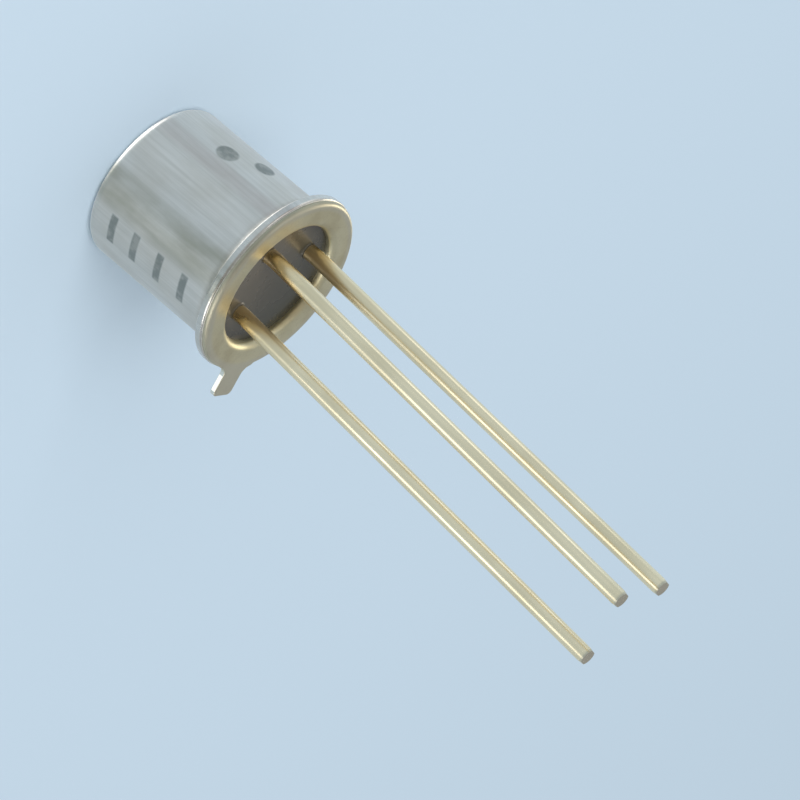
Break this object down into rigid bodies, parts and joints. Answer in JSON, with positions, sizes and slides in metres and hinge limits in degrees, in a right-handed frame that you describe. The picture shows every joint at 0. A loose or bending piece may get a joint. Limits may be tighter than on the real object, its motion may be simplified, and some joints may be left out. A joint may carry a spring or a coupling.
{
  "type": "junction field-effect transistor",
  "caption": "Small round metal-can transistor with a flanged gold header, dark glass seal, locating tab and three long wire leads, standing on its can.",
  "frame": {"origin": "centre of the can's flat top, which the part stands on", "axes": "+Z along the can's axis towards the lead tips; +X from the axis towards the source lead; the locating tab is halfway between +X and +Y"},
  "size_m": [0.0054, 0.0054, 0.0182],
  "materials": {
    "nickel_can": "satin nickel plate, drawn",
    "gold_header": "matt gold plate",
    "gold_leads": "satin gold plate",
    "seal_glass": "dark fused glass, glossy",
    "gold_solder": "gold-silicon solder",
    "silicon": "polished, with bright metal tracks",
    "gold_wire": "drawn gold"
  },
  "bodies": {
    "root": {"can": "nickel_can", "header_shell": "gold_header", "glass_seal": "seal_glass", "source_lead": "gold_leads", "drain_lead": "gold_leads", "gate_lead": "gold_leads", "die_attach": "gold_solder", "jfet_die": "silicon", "source_bond_wire": "gold_wire", "drain_bond_wire": "gold_wire"}
  },
  "joints": []
}
